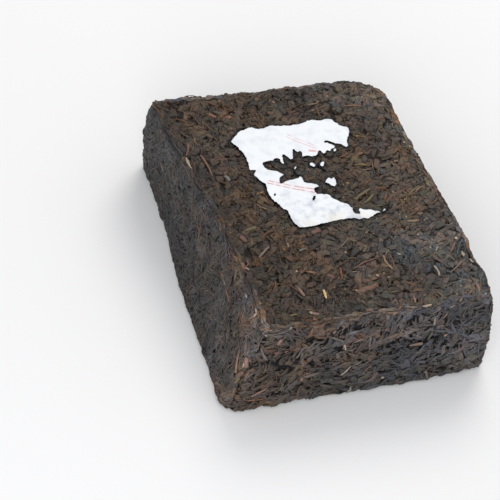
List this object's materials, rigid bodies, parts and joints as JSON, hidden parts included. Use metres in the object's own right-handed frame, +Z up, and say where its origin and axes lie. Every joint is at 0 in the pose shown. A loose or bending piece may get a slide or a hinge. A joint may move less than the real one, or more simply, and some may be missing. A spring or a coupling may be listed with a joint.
{
  "type": "pressed dark tea brick",
  "caption": "Rectangular brick of dark tea leaves pressed hard into a block with leaning sides, with a torn paper ticket and scraps of it stuck on its top face.",
  "frame": {"origin": "on the flat base, under the middle of the brick's outer box", "axes": "+Y along the brick's long side, from the squashed foot to the ticket's end; +Z up, out of the face that carries the paper ticket"},
  "size_m": [0.1238, 0.154, 0.0438],
  "materials": {
    "pressed_tea": "matte, dry pressed leaf",
    "ticket_paper": "matte thin paper"
  },
  "bodies": {
    "root": {"tea_brick": "pressed_tea", "paper_ticket": "ticket_paper", "paper_scrap_1": "ticket_paper", "paper_scrap_2": "ticket_paper", "paper_scrap_3": "ticket_paper"}
  },
  "joints": []
}
